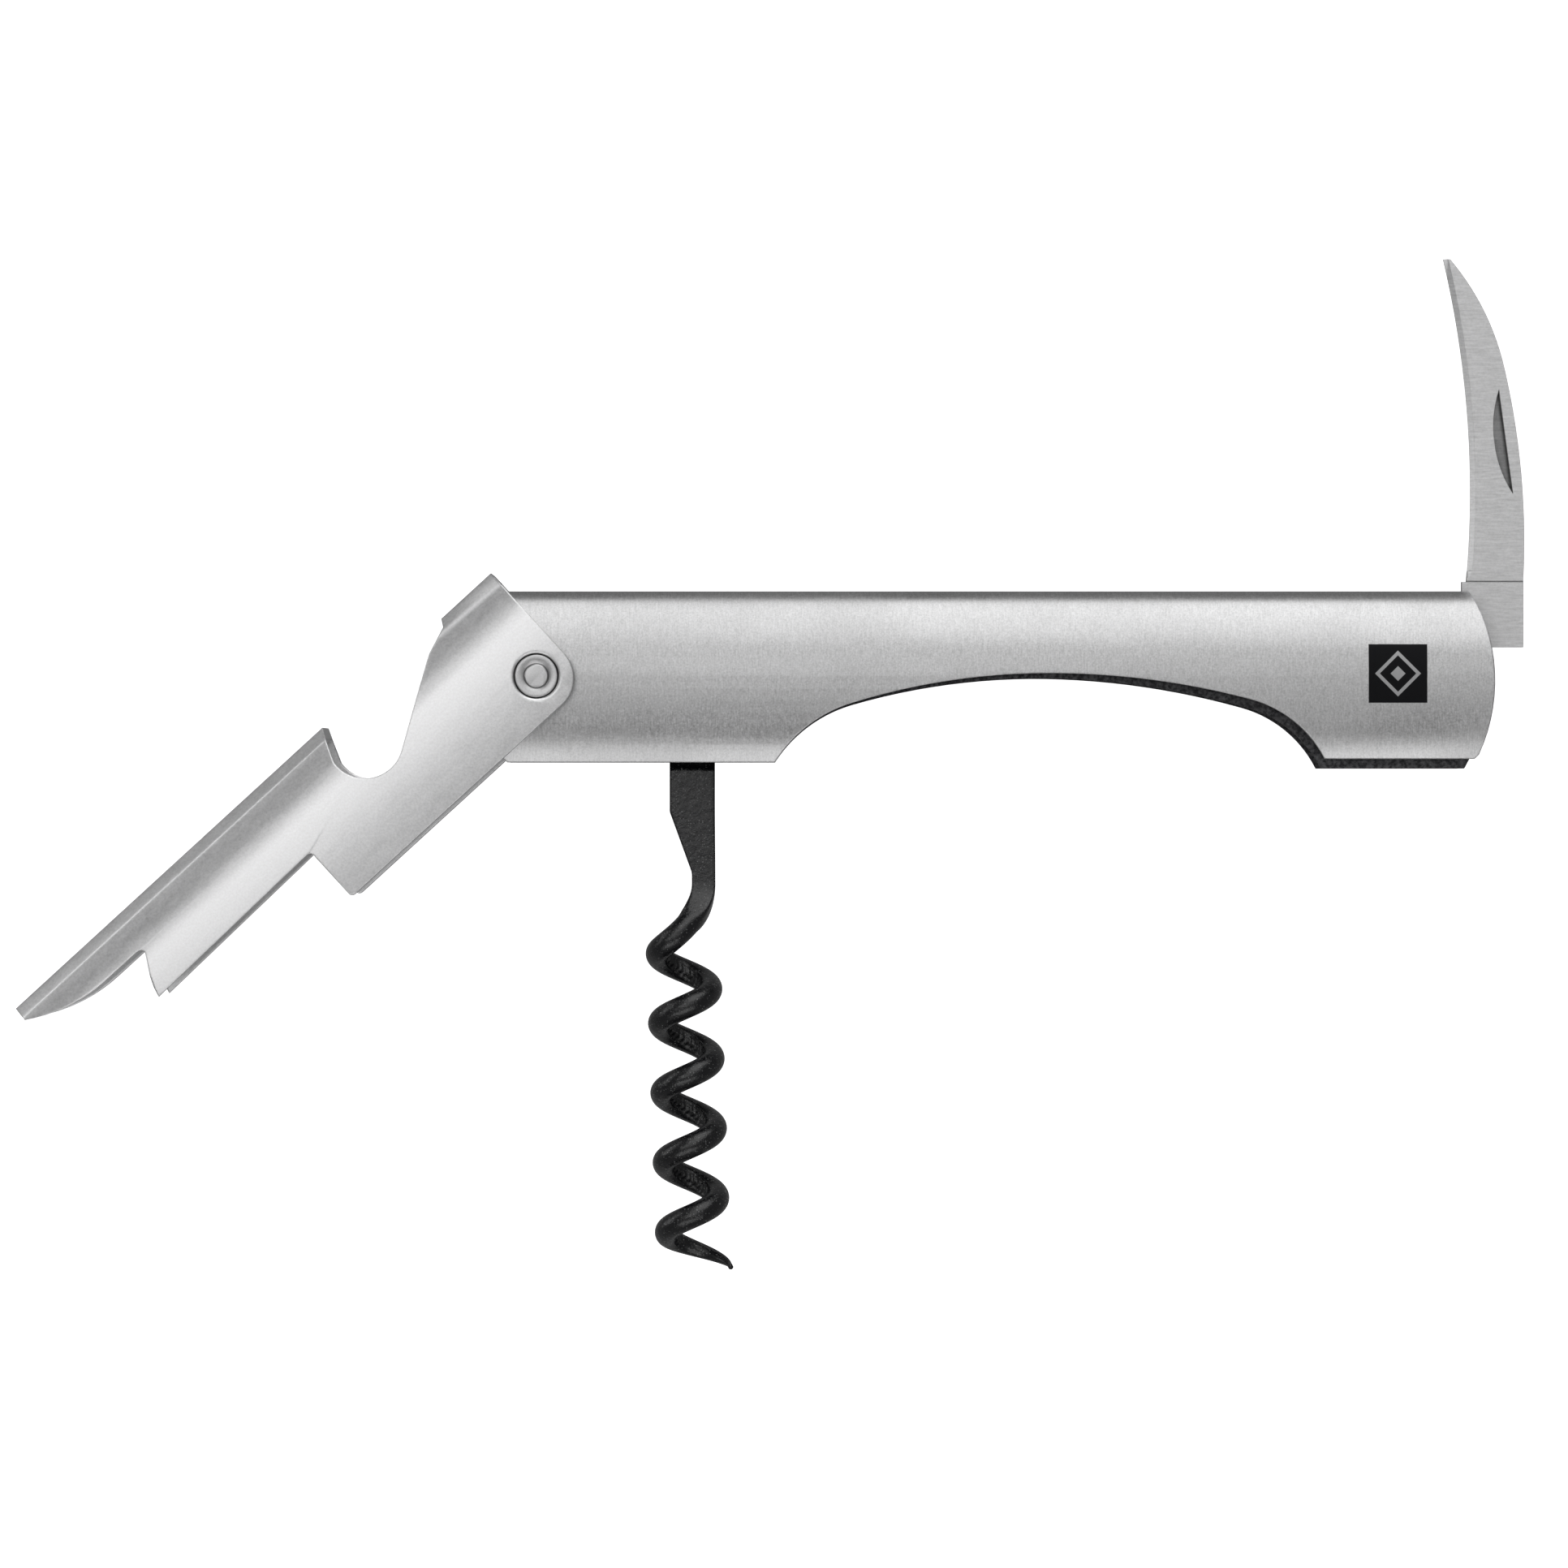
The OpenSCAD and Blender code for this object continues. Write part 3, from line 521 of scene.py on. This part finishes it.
def ring_points(ring, run):
    """The points of one ring, from the coil's outer side round; run is the wire's length up to it."""
    ref = Vector((math.cos(ring.facing), 0, math.sin(ring.facing)))
    out = (ref - ring.way * ref.dot(ring.way)).normalized()
    side = ring.way.cross(out)
    power = 2.0 / (2.0 + SHANK_SQUARE * ring.square)
    for j in range(WIRE_SIDES):
        w = 2 * math.pi * j / WIRE_SIDES
        off = abs(math.degrees(w) - 180.0)
        sunk = ring.groove * smooth_step((GROOVE_HALF - off) / GROOVE_FLANK)
        dip = ring.groove * max(0.0, 1 - abs(off - GROOVE_HALF - DIP_AT) / DIP_HALF)
        ridge_place = ((run + off * RIDGE_SLANT) % RIDGE_GAP) / RIDGE_GAP
        ridge = sunk * max(0.0, 1 - abs(ridge_place - 0.5) / RIDGE_HALF)
        scale = 1 - (GROOVE_DEPTH * sunk - RIDGE_H * ridge + DIP_DEPTH * dip) / WIRE_R
        c, d = math.cos(w), math.sin(w)
        x = math.copysign(abs(c) ** power, c) * ring.wide * scale
        y = math.copysign(abs(d) ** power, d) * ring.thick * scale
        yield ring.centre + out * x + side * y


def wire_mesh():
    """The points and faces of the swept wire, closed at both ends."""
    points = []
    run, before = 0.0, None
    for ring in (*shank_rings(), *bend_rings(), *coil_rings()):
        if before is not None:
            run += (ring.centre - before).length
        before = ring.centre
        points += ring_points(ring, run)
    last = len(points) - WIRE_SIDES
    faces = []
    for here in range(0, last, WIRE_SIDES):
        there = here + WIRE_SIDES
        for j in range(WIRE_SIDES):
            k = (j + 1) % WIRE_SIDES
            faces.append((here + j, here + k, there + k, there + j))
    faces.append(tuple(reversed(range(WIRE_SIDES))))
    faces.append(tuple(range(last, last + WIRE_SIDES)))
    return points, faces


def arc(x, y, r, start, end, steps):
    """Points along an arc round x, y, between two angles in degrees."""
    angles = [math.radians(between(start, end, i / steps)) for i in range(steps + 1)]
    return [(x + r * math.cos(a), y + r * math.sin(a)) for a in angles]


def tang_mesh():
    """The points and faces of the flat tang inside the handle, with its pin hole and rounded edges."""
    side = SHANK_W / 2
    low = math.degrees(math.asin(side / TANG_R))
    outline = arc(worm_pin.x, worm_pin.y, TANG_R, -90 + low, 270 - low, TANG_STEPS)
    outline += [(worm_pin.x - side, SHANK_TOP), (worm_pin.x + side, SHANK_TOP)]
    hole = arc(worm_pin.x, worm_pin.y, PIN_HOLE_R, 0, 360, TANG_STEPS)[:-1]
    curve = bpy.data.curves.new("shank_outline", "CURVE")
    curve.dimensions = "2D"
    curve.fill_mode = "BOTH"
    curve.extrude = SHANK_T / 2 - TANG_EDGE
    curve.bevel_depth = TANG_EDGE
    curve.bevel_resolution = 3
    curve.offset = -TANG_EDGE
    for loop in (outline, hole):
        spline = curve.splines.new("POLY")
        spline.points.add(len(loop) - 1)
        for point, (x, y) in zip(spline.points, loop):
            point.co = (x, y, 0, 1)
        spline.use_cyclic_u = True
    shape = bpy.data.objects.new("shank_outline", curve)
    bpy.context.scene.collection.objects.link(shape)
    bpy.context.view_layer.update()
    mesh = bpy.data.meshes.new_from_object(shape.evaluated_get(bpy.context.evaluated_depsgraph_get()))
    bpy.data.objects.remove(shape)
    return [v.co.copy() for v in mesh.vertices], [tuple(p.vertices) for p in mesh.polygons]


def add_piece(name, parts, material, body, node):
    """One smooth mesh from lists of points in millimetres from the lever's pin, in place of a CAD node."""
    verts, faces = [], []
    for points, loops in parts:
        faces += [tuple(i + len(verts) for i in loop) for loop in loops]
        verts += [lever_pin + p * MM for p in points]
    mesh = bpy.data.meshes.new(name)
    mesh.from_pydata(verts, [], faces)
    mesh.update()
    mesh.materials.append(material)
    piece = bpy.data.objects.new(name, mesh)
    bpy.context.scene.collection.objects.link(piece)
    smooth(piece, WELD_GAP / 2)
    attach(piece, body)
    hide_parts(node)


add_piece("worm_round", [wire_mesh(), tang_mesh()], worm_coating(), "worm", "worm")

# ---------- camera ----------

FRAME_W = 0.1789                        # width in metres that the camera sees at the shell's near side
SHOT = 1.0                              # distance of the camera from there, in metres
SENSOR = 36.0                           # width of its sensor, in millimetres
VIEW_CENTRE = (28.24, -12.31)

camera_data = bpy.data.cameras.new("camera")
camera_data.sensor_width = SENSOR
camera_data.lens = SENSOR * SHOT / FRAME_W
camera_data.clip_start = 0.05
camera_data.clip_end = 10
camera = bpy.data.objects.new("camera", camera_data)
aim = design(*VIEW_CENTRE)
camera.location = (aim.x, aim.y, shell_top + SHOT)
bpy.context.scene.collection.objects.link(camera)
bpy.context.scene.camera = camera

# ---------- floor, lights and world: sizes and distances in metres ----------

FLOOR_HALF = 3.0
FLOOR_DROP = 0.0005                     # the floor lies this far below the object
WORLD_LIGHT = 0.19

floor_mesh = bpy.data.meshes.new("floor")
floor_corners = [(x * FLOOR_HALF, y * FLOOR_HALF, 0) for x, y in ((-1, -1), (1, -1), (1, 1), (-1, 1))]
floor_mesh.from_pydata(floor_corners, [], [(0, 1, 2, 3)])
floor = bpy.data.objects.new("floor", floor_mesh)
floor.location.z = -FLOOR_DROP
bpy.context.scene.collection.objects.link(floor)
floor.visible_glossy = False            # the steel's lower edges stay darker than the white floor
floor.visible_shadow = False            # the back panel reaches a little below the floor
floor_nodes = Nodes("floor")
paper = floor_nodes.grey(floor_nodes.noise(floor_nodes.place(), scale=0.02), 0.80, 0.82)
glow = {"Emission_Color": (1, 1, 1, 1), "Emission_Strength": 0.92}
floor_mesh.materials.append(floor_nodes.finish(paper, 0.85, metallic=0.0, **glow))


def panel(name, azimuth, polar, distance, size, radiance):
    """A soft rectangular light: its direction in degrees, its size along the handle and across it."""
    turn, tilt = math.radians(azimuth), math.radians(polar)
    way = Vector((math.sin(tilt) * math.cos(turn), math.sin(tilt) * math.sin(turn), math.cos(tilt)))
    data = bpy.data.lights.new(name, "AREA")
    data.shape = "RECTANGLE"
    data.size, data.size_y = size
    data.energy = radiance * math.pi * size[0] * size[1]
    light = bpy.data.objects.new(name, data)
    light.location = way * distance
    light.rotation_euler = (-way).to_track_quat("-Z", "Y").to_euler()
    bpy.context.scene.collection.objects.link(light)


panel("back_panel", azimuth=78, polar=62, distance=1.2, size=(0.95, 1.9), radiance=1.6)
panel("overhead", azimuth=92, polar=5, distance=1.35, size=(1.5, 0.38), radiance=0.85)
panel("left_glow", azimuth=137, polar=19, distance=1.3, size=(0.5, 0.55), radiance=1.0)
panel("left_panel", azimuth=158, polar=82, distance=1.2, size=(1.15, 0.6), radiance=1.4)
panel("front_panel", azimuth=274, polar=39, distance=1.2, size=(1.3, 0.5), radiance=1.5)

world = bpy.data.worlds.new("world")
world.use_nodes = True
world.node_tree.nodes["Background"].inputs["Color"].default_value = (1, 1, 1, 1)
world.node_tree.nodes["Background"].inputs["Strength"].default_value = WORLD_LIGHT
bpy.context.scene.world = world
bpy.context.scene.view_settings.view_transform = "Standard"
